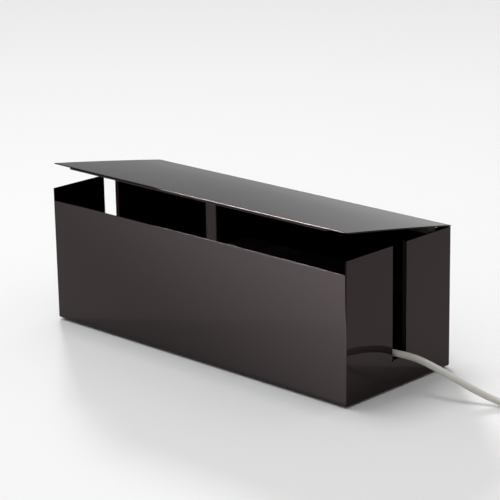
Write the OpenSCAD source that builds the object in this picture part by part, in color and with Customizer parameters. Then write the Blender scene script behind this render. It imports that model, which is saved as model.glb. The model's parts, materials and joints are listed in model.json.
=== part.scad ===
// Cable management box: a folded steel trough with two end panels and a hinged lid, open at the front
// under the lid and through a rimmed slot in each end. A socket strip lies inside, and its lead runs
// out through the right slot to a coil and a plug. Millimetres, +Z up, the floor is at z = 0.
// The origin is on the floor, under the centre of the box with its hinge barrels.

/* [Box] */
// Length of the box, end face to end face
box_l = 400; // [380:5:500]
// Depth of the box, front face to rear face
box_d = 152; // [140:1:200]
// Height of the rear and end walls above the underside
wall_h = 140; // [120:1:180]
// How much lower the top of the front wall is
front_drop = 13; // [8:1:25]
// Thickness of the steel sheet
sheet = 1; // [0.8:0.1:1.5]
// Outer radius of the long folds along the base
fold_r = 1.8; // [1.8:0.1:3]

/* [Cord slots] */
// Clear width of the slot in each end panel
slot_w = 20; // [16:1:30]
// Height of the slot's lower edge above the underside
slot_sill = 28; // [24:1:40]
// How far the slot's folded rim reaches in from the panel
rim_depth = 4; // [3:0.5:6]

/* [Lid] */
// Angle at which the lid stands open
lid_open = 9.5; // [0:0.5:60]
// Gap between the shut lid and the tops of the walls
lid_gap = 0.3; // [0.2:0.1:1]
// Radius of the lid's front corners
lid_corner_r = 1; // [1:0.5:8]
// Depth of the hem folded back under the lid's front edge
hem_depth = 12; // [8:1:20]
// Distance from the end of the lid to the end of its hem
hem_inset = 25; // [15:1:40]

/* [Hinges] */
// Width of each hinge
hinge_w = 35; // [30:1:50]
// Distance from the end of the box to the middle of the hinge
hinge_inset = 35; // [30:1:80]
// Outer radius of the hinge barrel
barrel_r = 2; // [2:0.1:2.5]
// Radius of the hinge pin
pin_r = 1; // [0.8:0.1:1.1]
// Radial clearance of the pin in its barrel
pin_clear = 0.04; // [0.02:0.01:0.1]
// Thickness of a hinge leaf
leaf_t = 0.8; // [0.6:0.1:1]
// How far the wall leaf hangs below the hinge axis
leaf_drop = 10; // [10:0.5:14]
// How far the lid leaf reaches forward of the hinge axis
leaf_reach = 14; // [13:0.5:20]
// Share of the hinge's width that the lid leaf's knuckle takes
knuckle_share = 0.5; // [0.3:0.05:0.6]
// Running gap between knuckles, and between the barrel and the lid
hinge_gap = 0.3; // [0.2:0.05:0.5]
// Radius of the formed heads on the hinge pin
pin_head_r = 1.5; // [1.3:0.1:1.8]
// Thickness of the formed heads on the hinge pin
pin_head_t = 0.6; // [0.4:0.1:1]

/* [Weld studs] */
// Radius of the threaded weld studs
stud_r = 1.5; // [1.25:0.05:1.5]
// Distance between the two studs of a leaf
stud_pitch = 20; // [15:1:22]
// How far the lid studs stand forward of the hinge axis
lid_stud_reach = 9; // [8.5:0.5:10]
// How far the wall studs stand below the hinge axis
wall_stud_drop = 6.3; // [6:0.1:6.6]
// Width of a nut across its flats
nut_af = 5.5; // [5:0.1:5.5]
// Height of a nut
nut_h = 2.4; // [1.8:0.1:2.6]
// Length of thread that shows past a nut
stud_tip = 1; // [0.5:0.1:1.5]
// Clearance of a stud in the hole of its leaf
stud_clear = 0.2; // [0.1:0.05:0.4]

/* [Feet] */
// Radius of each rubber foot
foot_r = 7; // [5:0.5:10]
// Height of each rubber foot
foot_h = 2; // [1.5:0.5:6]
// Distance from the faces of the box to the middle of a foot
foot_inset = 20; // [12:1:40]

/* [Socket strip] */
// Distance from the strip's far end to the end of the box
strip_back = 35; // [30:1:60]
// Width of the strip's housing
strip_w = 50; // [46:1:60]
// Height of the strip's lower shell, up to the middle of its lead
tray_h = 19; // [17:1:24]
// Height of the strip's upper shell
cover_h = 19; // [16:1:24]
// Wall thickness of both shells
shell_t = 2.2; // [1.8:0.1:3]
// Radius of the housing's corners
strip_r = 8; // [4:1:12]
// Distance from the strip's lead end to the end of the box
strip_gap = 95; // [90:1:100]
// Distance between neighbouring sockets
socket_pitch = 44; // [40:1:46]
// Least distance from the strip's far end to a socket
end_room = 39; // [34:1:45]
// Distance from the strip's lead end to the nearest socket
lead_room = 55; // [52:1:60]
// Distance between neighbouring holes of a socket
hole_pitch = 9.5; // [9.5:0.5:12]
// Radius of a socket hole
hole_r = 2.4; // [2.2:0.1:2.6]
// Outer radius of a contact sleeve
sleeve_r = 3; // [2.8:0.1:3.4]
// Width of a contact rail
rail_w = 5; // [4:0.5:7]
// Thickness of a contact rail
rail_t = 1; // [0.8:0.1:1.5]
// Height of the ribs that carry the contact rails
rib_h = 8; // [5:1:10]
// Thickness of the ribs that carry the contact rails
rib_t = 3; // [2:0.5:5]
// Radius of the bosses that the housing screws run in
boss_r = 4; // [3.5:0.1:5]
// Radius of the housing screws
screw_r = 1.4; // [1.2:0.1:1.6]
// Radius of the housing screws' heads
screw_head_r = 2.6; // [2.3:0.1:3]
// Thickness of a screw head
screw_head_t = 1.6; // [1.2:0.1:2]

/* [Lead] */
// Diameter of the lead
cord_d = 6.6; // [6:0.1:7]
// Length of the strain relief outside the strip
relief_l = 30; // [20:1:40]
// Radius of the strain relief at the strip
relief_r = 6; // [5.5:0.1:8]
// Wall of a strain relief at its thin end
relief_tip = 1; // [0.6:0.1:1.5]
// Radius of the strain relief's neck in the housing wall
neck_r = 4.6; // [4.4:0.1:5]
// Thickness of the strain relief's collar inside the housing
collar_t = 2; // [1.5:0.1:2.5]
// Length of lead held inside the strip
held_l = 24; // [22:1:30]
// Width of the clamp bar across the lead
clamp_w = 24; // [24:1:30]
// Thickness of the clamp bar
clamp_t = 4; // [3:0.5:5]
// Distance from the housing's end to the middle of the clamp bar
clamp_inset = 14; // [13:1:18]
// Radius of the posts under the clamp bar
post_r = 3; // [2.5:0.1:3.5]
// Radius of a conductor with its insulation
wire_r = 1; // [0.7:0.1:1]
// Straight length at each end of a conductor
wire_end = 4; // [2:0.5:6]

/* [Coil and plug] */
// Radius of the coil's outermost turn, at the middle of the lead
coil_r = 46; // [40:1:50]
// Width of the coil's ring of turns
coil_w = 25; // [20:1:28]
// Layers of lead in the coil
coil_layers = 2; // [1:1:3]
// Thickness of the tie's strap
tie_t = 0.8; // [0.5:0.1:1.2]
// Width of the tie's strap
tie_w = 12; // [8:1:16]
// Length of the plug's body without its strain relief
plug_l = 36; // [30:1:42]
// Width of the plug's body
plug_w = 34; // [30:1:40]
// Thickness of the plug's body
plug_t = 17; // [15:1:20]
// Radius of the plug's corners in plan
plug_r = 7; // [4:1:10]
// Length of the plug's strain relief
plug_relief_l = 22; // [20:1:30]
// Radius of a plug pin
prong_r = 2; // [1.9:0.05:2.1]
// Length of a plug pin in front of the body
prong_l = 19; // [15:1:20]
// Length of a plug pin held in the body
prong_root = 8; // [5:1:12]

/* [Hidden] */
$fn = 64;

paint = "#2b2220";
zinc = "#9a9a98";
pale = "#d8d6d2";

eps = 0.01;          // overlap that keeps cuts clean
fit = 0.05;          // clearance of parts that are pressed, screwed or moulded together
post_gap = 1;        // side gap between the held lead and a clamp post

// Box frame
axis_out = barrel_r - leaf_t - sheet;                // hinge axis behind the rear face
barrel_out = axis_out + barrel_r;                    // barrel's reach behind the rear face
front_y = -(box_d + barrel_out) / 2;
rear_y = front_y + box_d;
mid_y = (front_y + rear_y) / 2;
end_x = box_l / 2;
under_z = foot_h;
floor_z = under_z + sheet;
wall_top = under_z + wall_h;
front_top = wall_top - front_drop;
lid_z = wall_top + lid_gap;                          // underside of the shut lid

// Hinges
axis_y = rear_y + axis_out;
axis_z = lid_z - barrel_r - hinge_gap;
hinge_x = end_x - hinge_inset;
knuckle_w = hinge_w * knuckle_share;
plain_w = (hinge_w - knuckle_w) / 2 - hinge_gap;     // width of each outer knuckle
leaf_back = barrel_r + hinge_gap;                    // where a leaf's full width ends
notch_w = hinge_w + 2 * (pin_head_t + hinge_gap);
inner_y = rear_y - sheet;

// Socket strip
strip_end = end_x - strip_gap;
strip_l = box_l - strip_gap - strip_back;
strip_x = strip_end - strip_l / 2;
lead_z = floor_z + tray_h;
strip_top = lead_z + cover_h;
sockets = floor((strip_l - lead_room - end_room) / socket_pitch + eps) + 1;
first_socket = strip_end - lead_room - (sockets - 1) * socket_pitch;
rail_l = (sockets - 1) * socket_pitch + 4 * sleeve_r;
rail_z = floor_z + shell_t + rib_h;
sleeve_top = strip_top - shell_t - fit;
boss_x = strip_l / 2 - shell_t - boss_r;
boss_y = strip_w / 2 - shell_t - boss_r;
cord_r = cord_d / 2;
post_y = cord_r + post_gap + post_r;
clamp_x = strip_end - clamp_inset;
relief_end = strip_end + relief_l;

// Lead outside the strip: its way from the strain relief to the coil, then from the coil to the plug
run = [[relief_end, mid_y, lead_z], [141, mid_y, lead_z], [149, -1, 23.6], [158, -1, 26.4], [168, -1.3, 29.8],
       [179, -2.3, 32.6], [190, -2.9, 34.1], [200, -2.5, 34.4], [210, -0.5, 34.2], [222, 1.5, 32.9],
       [234, 2.5, 30.2], [246, 4, 26.6], [257, 6.5, 22.4], [268, 10, 17.4], [278, 13.6, 12.8],
       [287, 17.1, 9], [295, 20, 6.1], [302.4, 21.8, 4.3], [310, 22, 3.5], [317.2, 20.4, 3.4],
       [324, 17, 3.5], [329.8, 12.1, 3.8], [334.2, 6, 4.1]];
coil_centre = [374, 29];
coil_out = coil_r + cord_r;
coil_in = coil_out - coil_w;
coil_top = tie_t + coil_layers * cord_d;
plug_x = coil_centre[0] + coil_r;
plug_z = plug_t / 2;
tail_end = 58;                                       // where the lead enters the plug, along Y
plug_back = tail_end + plug_relief_l;                // rear of the plug's body
tail = [[plug_x, 27, coil_top - cord_r], [plug_x, 35, coil_top - cord_r], [plug_x, 44, 10],
        [plug_x, 52, plug_z], [plug_x, tail_end, plug_z]];

// A plate with round corners, in the XY plane, centred
module rounded_square(w, d, r) {
  square([w - 2 * r, d], center = true);
  square([w, d - 2 * r], center = true);
  for (x = [-1, 1], y = [-1, 1])
    translate([x * (w / 2 - r), y * (d / 2 - r)]) circle(r);
}

// A rectangle whose lower corners are round, standing on the X axis
module round_based(w, h, r) {
  translate([r, 0]) square([w - 2 * r, h]);
  translate([0, r]) square([w, h - r]);
  for (x = [r, w - r]) translate([x, r]) circle(r);
}

// Drawn in (Y, Z), extruded along X from x
module along_x(x, l) {
  translate([x, 0, 0]) rotate([90, 0, 90]) linear_extrude(height = l) children();
}

// A cylinder along X
module rod_x(r, x, l) {
  translate([x, 0, 0]) rotate([0, 90, 0]) cylinder(h = l, r = r);
}

// Turns what belongs to the lid from shut to the open rest position
module opened() {
  translate([0, axis_y, axis_z]) rotate([-lid_open, 0, 0]) translate([0, -axis_y, -axis_z]) children();
}

// Both studs of both hinges
module at_studs() {
  for (side = [-1, 1], end = [-1, 1])
    translate([side * hinge_x + end * stud_pitch / 2, 0, 0]) children();
}

module nut() {
  difference() {
    cylinder(h = nut_h, r = nut_af / 2 / cos(30), $fn = 6);
    translate([0, 0, -eps]) cylinder(h = nut_h + 2 * eps, r = stud_r + fit);
  }
}

// ---- Box ----

module trough() {
  color(paint) difference() {
    along_x(-end_x + sheet, box_l - 2 * sheet) translate([front_y, under_z]) difference() {
      round_based(box_d, wall_h, fold_r);
      translate([sheet, sheet]) round_based(box_d - 2 * sheet, wall_h, fold_r - sheet);
      translate([-eps, wall_h - front_drop]) square([box_d / 2, front_drop + eps]);
    }
    for (side = [-1, 1])
      translate([side * hinge_x - notch_w / 2, inner_y - eps, axis_z - barrel_r - hinge_gap])
        cube([notch_w, sheet + 2 * eps, wall_h]);
  }
}

// An end panel on the +X side, seen from outside the box
module end_panel() {
  along_x(end_x - sheet, sheet) difference() {
    translate([front_y, under_z]) round_based(box_d, wall_h, fold_r);
    translate([mid_y - slot_w / 2, under_z + slot_sill]) square([slot_w, wall_h]);
  }
  along_x(end_x - sheet - rim_depth, rim_depth + eps) difference() {
    translate([mid_y - slot_w / 2 - sheet, under_z + slot_sill - sheet])
      square([slot_w + 2 * sheet, wall_h - slot_sill + sheet]);
    translate([mid_y - slot_w / 2, under_z + slot_sill]) square([slot_w, wall_h]);
  }
}

module end_panel_right() color(paint) end_panel();
module end_panel_left() color(paint) mirror([1, 0, 0]) end_panel();

module lid() {
  hem_l = box_l - 2 * hem_inset;
  color(paint) opened() {
    difference() {
      translate([0, 0, lid_z]) linear_extrude(height = sheet) {
        translate([0, mid_y]) rounded_square(box_l, box_d, lid_corner_r);
        translate([-end_x, mid_y]) square([box_l, box_d / 2]);
      }
      translate([-hem_l / 2, front_y - eps, lid_z - eps]) cube([hem_l, sheet + eps, sheet + 2 * eps]);
    }
    translate([0, front_y + sheet, lid_z]) rod_x(sheet, -hem_l / 2, hem_l);
    translate([-hem_l / 2, front_y + sheet, lid_z - sheet]) cube([hem_l, hem_depth - sheet, sheet + eps]);
  }
}

// ---- Hinges ----

// Knuckles of a barrel, each given as [start, length] along X
module knuckles(spans) {
  translate([0, axis_y, axis_z]) for (span = spans) rod_x(barrel_r, span[0], span[1]);
}

module barrel_bore() {
  translate([0, axis_y, axis_z]) rod_x(pin_r + pin_clear, -hinge_w, 2 * hinge_w);
}

module wall_leaf() {
  outer = [[-hinge_w / 2, plain_w], [hinge_w / 2 - plain_w, plain_w]];
  color(zinc) difference() {
    union() {
      translate([-hinge_w / 2, inner_y - leaf_t, axis_z - leaf_drop])
        cube([hinge_w, leaf_t, leaf_drop - leaf_back]);
      for (span = outer)
        translate([span[0], inner_y - leaf_t, axis_z - leaf_drop]) cube([span[1], leaf_t, leaf_drop]);
      knuckles(outer);
    }
    barrel_bore();
    for (end = [-1, 1])
      translate([end * stud_pitch / 2, inner_y + eps, axis_z - wall_stud_drop])
        rotate([90, 0, 0]) cylinder(h = leaf_t + 2 * eps, r = stud_r + stud_clear);
  }
}

module lid_leaf() {
  color(zinc) opened() difference() {
    union() {
      translate([-hinge_w / 2, axis_y - leaf_reach, lid_z - leaf_t])
        cube([hinge_w, leaf_reach - leaf_back, leaf_t]);
      translate([-knuckle_w / 2, axis_y - leaf_reach, lid_z - leaf_t]) cube([knuckle_w, leaf_reach, leaf_t]);
      knuckles([[-knuckle_w / 2, knuckle_w]]);
    }
    barrel_bore();
    for (end = [-1, 1])
      translate([end * stud_pitch / 2, axis_y - lid_stud_reach, lid_z - leaf_t - eps])
        cylinder(h = leaf_t + 2 * eps, r = stud_r + stud_clear);
  }
}

module hinge_pin() {
  color(zinc) translate([0, axis_y, axis_z]) {
    rod_x(pin_r, -hinge_w / 2, hinge_w);
    for (x = [-hinge_w / 2 - pin_head_t, hinge_w / 2]) rod_x(pin_head_r, x, pin_head_t);
  }
}

module hinge_left_wall_leaf() translate([-hinge_x, 0, 0]) wall_leaf();
module hinge_right_wall_leaf() translate([hinge_x, 0, 0]) wall_leaf();
module hinge_left_lid_leaf() translate([-hinge_x, 0, 0]) lid_leaf();
module hinge_right_lid_leaf() translate([hinge_x, 0, 0]) lid_leaf();
module hinge_left_pin() translate([-hinge_x, 0, 0]) hinge_pin();
module hinge_right_pin() translate([hinge_x, 0, 0]) hinge_pin();

module wall_studs() {
  color(paint) at_studs() translate([0, inner_y, axis_z - wall_stud_drop])
    rotate([90, 0, 0]) cylinder(h = leaf_t + nut_h + stud_tip, r = stud_r);
}

module wall_nuts() {
  color(zinc) at_studs() translate([0, inner_y - leaf_t, axis_z - wall_stud_drop]) rotate([90, 0, 0]) nut();
}

module lid_studs() {
  stud_l = leaf_t + nut_h + stud_tip;
  color(paint) opened() at_studs() translate([0, axis_y - lid_stud_reach, lid_z - stud_l])
    cylinder(h = stud_l, r = stud_r);
}

module lid_nuts() {
  color(zinc) opened() at_studs() translate([0, axis_y - lid_stud_reach, lid_z - leaf_t - nut_h]) nut();
}

// ---- Feet ----

module foot(x, y) {
  color("#26262a") translate([x * (end_x - foot_inset), mid_y + y * (box_d / 2 - foot_inset), 0])
    cylinder(h = foot_h, r1 = foot_r - foot_h / 4, r2 = foot_r);
}

module foot_front_left() foot(-1, -1);
module foot_front_right() foot(1, -1);
module foot_rear_left() foot(-1, 1);
module foot_rear_right() foot(1, 1);

// ---- Socket strip ----

module at_bosses() {
  for (x = [-1, 1], y = [-1, 1]) translate([strip_x + x * boss_x, mid_y + y * boss_y, 0]) children();
}

// A shell of the housing, open at the top, from z = 0
module shell(h) {
  translate([strip_x, mid_y, 0]) difference() {
    linear_extrude(height = h) rounded_square(strip_l, strip_w, strip_r);
    translate([0, 0, shell_t]) linear_extrude(height = h)
      rounded_square(strip_l - 2 * shell_t, strip_w - 2 * shell_t, strip_r - shell_t);
  }
}

// The round hole in the housing's end that both shells share
module neck_hole() {
  translate([0, mid_y, lead_z]) rod_x(neck_r + fit, strip_end - shell_t - eps, shell_t + 2 * eps);
}

module strip_tray() {
  color(pale) difference() {
    union() {
      translate([0, 0, floor_z]) shell(tray_h);
      at_bosses() translate([0, 0, floor_z]) cylinder(h = tray_h, r = boss_r);
      for (i = [0, sockets - 2])
        translate([first_socket + i * socket_pitch + socket_pitch / 2 - rib_t / 2,
                   mid_y - strip_w / 2 + shell_t, floor_z + shell_t - eps])
          cube([rib_t, strip_w - 2 * shell_t, rib_h + eps]);
      for (y = [-1, 1]) translate([clamp_x, mid_y + y * post_y, floor_z])
        cylinder(h = tray_h + cord_r, r = post_r);
    }
    neck_hole();
    at_bosses() translate([0, 0, floor_z - eps]) {
      cylinder(h = tray_h + 2 * eps, r = screw_r + fit);
      cylinder(h = screw_head_t + 2 * eps, r = screw_head_r + fit);
    }
    for (y = [-1, 1]) translate([clamp_x, mid_y + y * post_y, floor_z + shell_t])
      cylinder(h = tray_h + cord_r, r = screw_r + fit);
  }
}

module strip_cover() {
  color(pale) difference() {
    union() {
      translate([0, 0, strip_top]) mirror([0, 0, 1]) shell(cover_h);
      at_bosses() translate([0, 0, lead_z]) cylinder(h = cover_h, r = boss_r);
    }
    neck_hole();
    at_bosses() translate([0, 0, lead_z - eps]) cylinder(h = cover_h - shell_t, r = screw_r + fit);
    for (i = [0 : sockets - 1], k = [-1, 0, 1])
      translate([first_socket + i * socket_pitch, mid_y + k * hole_pitch, strip_top - shell_t - eps])
        cylinder(h = shell_t + 2 * eps, r = hole_r);
  }
}

module strip_screws() {
  color(zinc) at_bosses() translate([0, 0, floor_z]) {
    cylinder(h = screw_head_t, r = screw_head_r);
    cylinder(h = tray_h + cover_h / 2, r = screw_r);
  }
}

// A contact rail with a sleeve under each socket hole of its row
module rail(row) {
  color("#c9a24b") difference() {
    translate([first_socket, mid_y + row * hole_pitch, rail_z]) {
      translate([-2 * sleeve_r, -rail_w / 2, 0]) cube([rail_l, rail_w, rail_t]);
      for (i = [0 : sockets - 1]) translate([i * socket_pitch, 0, 0])
        cylinder(h = sleeve_top - rail_z, r = sleeve_r);
    }
    for (i = [0 : sockets - 1])
      translate([first_socket + i * socket_pitch, mid_y + row * hole_pitch, rail_z + rail_t])
        cylinder(h = cover_h + tray_h, r = hole_r - 2 * fit);
  }
}

module live_rail() rail(-1);
module earth_rail() rail(0);
module neutral_rail() rail(1);

module conductors() {
  rail_end = first_socket - 2 * sleeve_r + rail_l;
  held_end = strip_end - held_l;
  color("#7a5a3a") for (row = [-1, 0, 1]) {
    from_y = mid_y + row * (2 * wire_r + fit);
    to_y = mid_y + row * hole_pitch;
    rail_mid = rail_z + rail_t / 2;
    tube([[held_end, from_y, lead_z], [held_end - wire_end, from_y, lead_z],
          [rail_end + wire_end, to_y, rail_mid], [rail_end, to_y, rail_mid]], wire_r, 8);
  }
}

module held_lead() {
  color(pale) translate([0, mid_y, lead_z]) rod_x(cord_r, strip_end - held_l, held_l + relief_l);
}

module cord_clamp() {
  color(pale) translate([clamp_x, mid_y, lead_z + cord_r]) difference() {
    translate([-post_r, -clamp_w / 2, 0]) cube([2 * post_r, clamp_w, clamp_t]);
    for (y = [-1, 1]) translate([0, y * post_y, -eps]) cylinder(h = clamp_t + 2 * eps, r = screw_r + fit);
  }
}

module clamp_screws() {
  shank = clamp_t + tray_h / 2;
  color(zinc) for (y = [-1, 1])
    translate([clamp_x, mid_y + y * post_y, lead_z + cord_r + clamp_t]) {
      cylinder(h = screw_head_t, r = screw_head_r);
      translate([0, 0, -shank]) cylinder(h = shank, r = screw_r);
    }
}

module strain_relief() {
  color(pale) translate([0, mid_y, lead_z]) difference() {
    union() {
      translate([strip_end, 0, 0]) rotate([0, 90, 0])
        cylinder(h = relief_l, r1 = relief_r, r2 = cord_r + relief_tip);
      rod_x(neck_r, strip_end - shell_t - fit, shell_t + 2 * fit);
      rod_x(relief_r, strip_end - shell_t - fit - collar_t, collar_t);
    }
    rod_x(cord_r + fit, strip_end - held_l, held_l + relief_l + eps);
  }
}

// ---- Free lead ----

// A tube of round section along a list of points, with flat ends
module tube(points, r, sides) {
  last = len(points) - 1;
  way = [for (i = [0 : last]) unit(points[min(i + 1, last)] - points[max(i - 1, 0)])];
  skin = [for (i = [0 : last]) let (side = unit(cross(way[i], [0, 0, 1])), up = cross(side, way[i]))
          for (k = [0 : sides - 1])
            points[i] + r * (cos(k * 360 / sides) * side + sin(k * 360 / sides) * up)];
  walls = [for (i = [0 : last - 1], k = [0 : sides - 1])
           let (a = i * sides + k, b = i * sides + (k + 1) % sides) [a, a + sides, b + sides, b]];
  start = [[for (k = [0 : sides - 1]) k]];
  end = [[for (k = [sides - 1 : -1 : 0]) last * sides + k]];
  polyhedron(points = skin, faces = concat(walls, start, end));
}

function unit(v) = v / norm(v);

module cord_run() color(pale) tube(run, cord_r, 12);
module cord_tail() color(pale) tube(tail, cord_r, 12);

module cord_coil() {
  bead = cord_r / 2;
  color(pale) translate([coil_centre[0], coil_centre[1], tie_t]) rotate_extrude($fn = 96)
      translate([coil_out - coil_w / 2, (coil_top - tie_t) / 2])
        rounded_square(coil_w, coil_top - tie_t, bead);
}

// The strap that holds the coil, round its turns on the +Y side
module cord_tie() {
  inside = sqrt(pow(coil_in, 2) - pow(tie_w / 2, 2)) - fit;
  outside = coil_out + fit;
  color("#3a3a3c") translate([coil_centre[0] - tie_w / 2, coil_centre[1], 0]) difference() {
    translate([0, inside - tie_t, 0]) cube([tie_w, outside - inside + 2 * tie_t, coil_top + fit + tie_t]);
    translate([-eps, inside, tie_t - fit])
      cube([tie_w + 2 * eps, outside - inside, coil_top - tie_t + 2 * fit]);
  }
}

module at_prongs() {
  for (k = [-1, 0, 1])
    translate([plug_x + k * hole_pitch, plug_back + plug_l, plug_z]) rotate([-90, 0, 0]) children();
}

module plug_body() {
  color(pale) difference() {
    union() {
      translate([plug_x, plug_back + plug_l / 2, 0]) linear_extrude(height = plug_t)
        rounded_square(plug_w, plug_l, plug_r);
      translate([plug_x, plug_back, plug_z]) rotate([90, 0, 0])
        cylinder(h = plug_relief_l, r1 = relief_r, r2 = cord_r + relief_tip);
    }
    at_prongs() translate([0, 0, -prong_root]) cylinder(h = prong_root + eps, r = prong_r + fit);
  }
}

module plug_pins() {
  color(zinc) at_prongs() translate([0, 0, -prong_root]) cylinder(h = prong_root + prong_l, r = prong_r);
}

trough();
end_panel_left();
end_panel_right();
lid();
hinge_left_wall_leaf();
hinge_left_lid_leaf();
hinge_left_pin();
hinge_right_wall_leaf();
hinge_right_lid_leaf();
hinge_right_pin();
wall_studs();
wall_nuts();
lid_studs();
lid_nuts();
foot_front_left();
foot_front_right();
foot_rear_left();
foot_rear_right();
strip_tray();
strip_cover();
strip_screws();
live_rail();
earth_rail();
neutral_rail();
conductors();
held_lead();
cord_clamp();
clamp_screws();
strain_relief();
cord_run();
cord_coil();
cord_tail();
cord_tie();
plug_body();
plug_pins();
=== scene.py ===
import json
from math import cos, pi, radians, sin

import bmesh
import bpy
from mathutils import Matrix, Vector


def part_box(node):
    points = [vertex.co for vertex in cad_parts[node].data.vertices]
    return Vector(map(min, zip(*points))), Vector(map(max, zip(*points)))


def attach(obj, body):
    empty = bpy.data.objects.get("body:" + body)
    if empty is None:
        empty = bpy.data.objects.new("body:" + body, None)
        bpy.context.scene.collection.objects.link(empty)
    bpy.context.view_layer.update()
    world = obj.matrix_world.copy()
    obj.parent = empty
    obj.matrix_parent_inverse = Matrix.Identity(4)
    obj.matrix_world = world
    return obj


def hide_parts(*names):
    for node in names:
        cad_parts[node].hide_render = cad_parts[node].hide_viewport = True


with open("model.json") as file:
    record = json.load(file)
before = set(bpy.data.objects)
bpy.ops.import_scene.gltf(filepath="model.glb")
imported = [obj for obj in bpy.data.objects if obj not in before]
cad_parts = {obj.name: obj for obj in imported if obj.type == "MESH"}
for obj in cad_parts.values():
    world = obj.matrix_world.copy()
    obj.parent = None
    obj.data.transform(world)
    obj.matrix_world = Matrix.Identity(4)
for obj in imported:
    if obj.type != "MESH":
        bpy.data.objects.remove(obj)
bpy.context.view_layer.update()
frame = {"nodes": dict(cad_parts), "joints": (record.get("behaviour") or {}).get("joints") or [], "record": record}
nodes = frame["nodes"]
mm = 0.001
print("frame:", len(nodes), "nodes")


# camera, two metres off the box's right front corner and looking slightly down

camera = {
    "place": (1344.6, -1385.6, 673.0),
    "turn": 44.01,  # to the left of +Y
    "down": 16.62,
    "roll": -1.0,
    "lens": 145.4,
    "sensor": 36.0,
}


def makeCamera():
    turn, down, roll = (radians(camera[key]) for key in ("turn", "down", "roll"))
    forward = Vector((-sin(turn) * cos(down), cos(turn) * cos(down), -sin(down)))
    level = Vector((cos(turn), sin(turn), 0))
    upright = level.cross(forward)
    right = level * cos(roll) + upright * sin(roll)
    top = upright * cos(roll) - level * sin(roll)
    data = bpy.data.cameras.new("camera")
    data.lens = camera["lens"]
    data.sensor_width = camera["sensor"]
    eye = bpy.data.objects.new("camera", data)
    bpy.context.collection.objects.link(eye)
    turned = Matrix((right, top, -forward)).transposed().to_4x4()
    eye.matrix_world = Matrix.Translation(Vector(camera["place"]) * mm) @ turned
    bpy.context.scene.camera = eye


makeCamera()
print("camera set")


# places that the pieces share, read from the frame

def corners(node):
    low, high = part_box(node)
    return Vector(low) / mm, Vector(high) / mm


troughEnd = corners("trough")[1].x
panelLow, panelHigh = corners("end_panel_right")
rimX, halfLength = panelLow.x, panelHigh.x  # the slot rim's inner end, the end panel's outer face
frontY, rearY = panelLow.y, panelHigh.y
midY = (frontY + rearY) / 2
underZ, wallTop = panelLow.z, panelHigh.z
sheet = halfLength - troughEnd
hinge = frame["joints"][0]
hingeAxis = Vector(hinge["pos_m"]) / mm
lidOpen = -hinge["range_deg"][0]  # the lid stands this far open at rest
coverLow, coverHigh = corners("strip_cover")
leadZ = coverLow.z
plugLow, plugHigh = corners("plug_body")
tieLow, tieHigh = corners("cord_tie")


# mesh helpers

near = 0.01  # closer than this to a face counts as on it
past = 1.0  # how far a cutter reaches beyond what it cuts


def meshEdit(change):
    # turns a change of a bmesh into one of a piece
    def changed(piece, *values, **named):
        work = bmesh.new()
        work.from_mesh(piece.data)
        change(work, *values, **named)
        work.to_mesh(piece.data)
        work.free()
        return piece
    return changed


@meshEdit
def facedOut(work):
    bmesh.ops.recalc_face_normals(work, faces=work.faces)


def linkMesh(name, points, faces):
    mesh = bpy.data.meshes.new(name)
    mesh.from_pydata([Vector(p) * mm for p in points], [], faces)
    mesh.validate()
    piece = bpy.data.objects.new(name, mesh)
    bpy.context.collection.objects.link(piece)
    return piece


def loft(name, rings, closed=False):
    # skins a row of closed rings with as many points each; closed joins the last ring to the first
    count = len(rings[0])
    points = [p for ring in rings for p in ring]
    faces = []
    for i in range(len(rings) if closed else len(rings) - 1):
        here, there = i * count, (i + 1) % len(rings) * count
        for k in range(count):
            nextK = (k + 1) % count
            faces.append((here + k, here + nextK, there + nextK, there + k))
    if not closed:
        faces.append(tuple(range(count))[::-1])
        faces.append(tuple(range((len(rings) - 1) * count, len(rings) * count)))
    return facedOut(linkMesh(name, points, faces))


def arc(centre, radius, start, end, steps):
    turns = [radians(start + (end - start) * i / steps) for i in range(steps + 1)]
    return [(centre[0] + radius * cos(a), centre[1] + radius * sin(a)) for a in turns]


def roundedOutline(low, high, radius, steps=8):
    # a rectangle with round corners
    outline = []
    insideLow, insideHigh = (low[0] + radius, low[1] + radius), (high[0] - radius, high[1] - radius)
    outline += arc(insideHigh, radius, 0, 90, steps)
    outline += arc((insideLow[0], insideHigh[1]), radius, 90, 180, steps)
    outline += arc(insideLow, radius, 180, 270, steps)
    outline += arc((insideHigh[0], insideLow[1]), radius, 270, 360, steps)
    return outline


def insetOutline(low, high, radius, inset):
    # the same outline, drawn in on every side
    low, high = (low[0] + inset, low[1] + inset), (high[0] - inset, high[1] - inset)
    return roundedOutline(low, high, radius - inset)


def block(low, high):
    ring = [(low[0], low[1]), (high[0], low[1]), (high[0], high[1]), (low[0], high[1])]
    return loft("block", [[(x, y, z) for x, y in ring] for z in (low[2], high[2])])


def spun(name, outline, centre, axis, steps=48, closed=True):
    # an outline of (along, radius) points, turned about an axis through the centre
    first, second, third = {"X": (0, 1, 2), "Y": (1, 2, 0), "Z": (2, 0, 1)}[axis]
    rings = []
    for along, radius in outline:
        ring = []
        for k in range(steps):
            point = [0, 0, 0]
            point[first] = along
            point[second] = radius * cos(2 * pi * k / steps)
            point[third] = radius * sin(2 * pi * k / steps)
            ring.append(Vector(point) + Vector(centre))
        rings.append(ring)
    return loft(name, rings, closed)


def rod(centre, radius, length, axis, steps=32):
    return spun("rod", [(0, radius), (length, radius)], centre, axis, steps, closed=False)


def applied(piece):
    graph = bpy.context.evaluated_depsgraph_get()
    mesh = bpy.data.meshes.new_from_object(piece.evaluated_get(graph))
    piece.modifiers.clear()
    piece.data = mesh
    return piece


def combine(piece, others, operation="DIFFERENCE"):
    for other in others:
        step = piece.modifiers.new("combine", "BOOLEAN")
        step.operation = operation
        step.object = other
        step.solver = "EXACT"
        applied(piece)
        bpy.data.objects.remove(other)
    return piece


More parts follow.
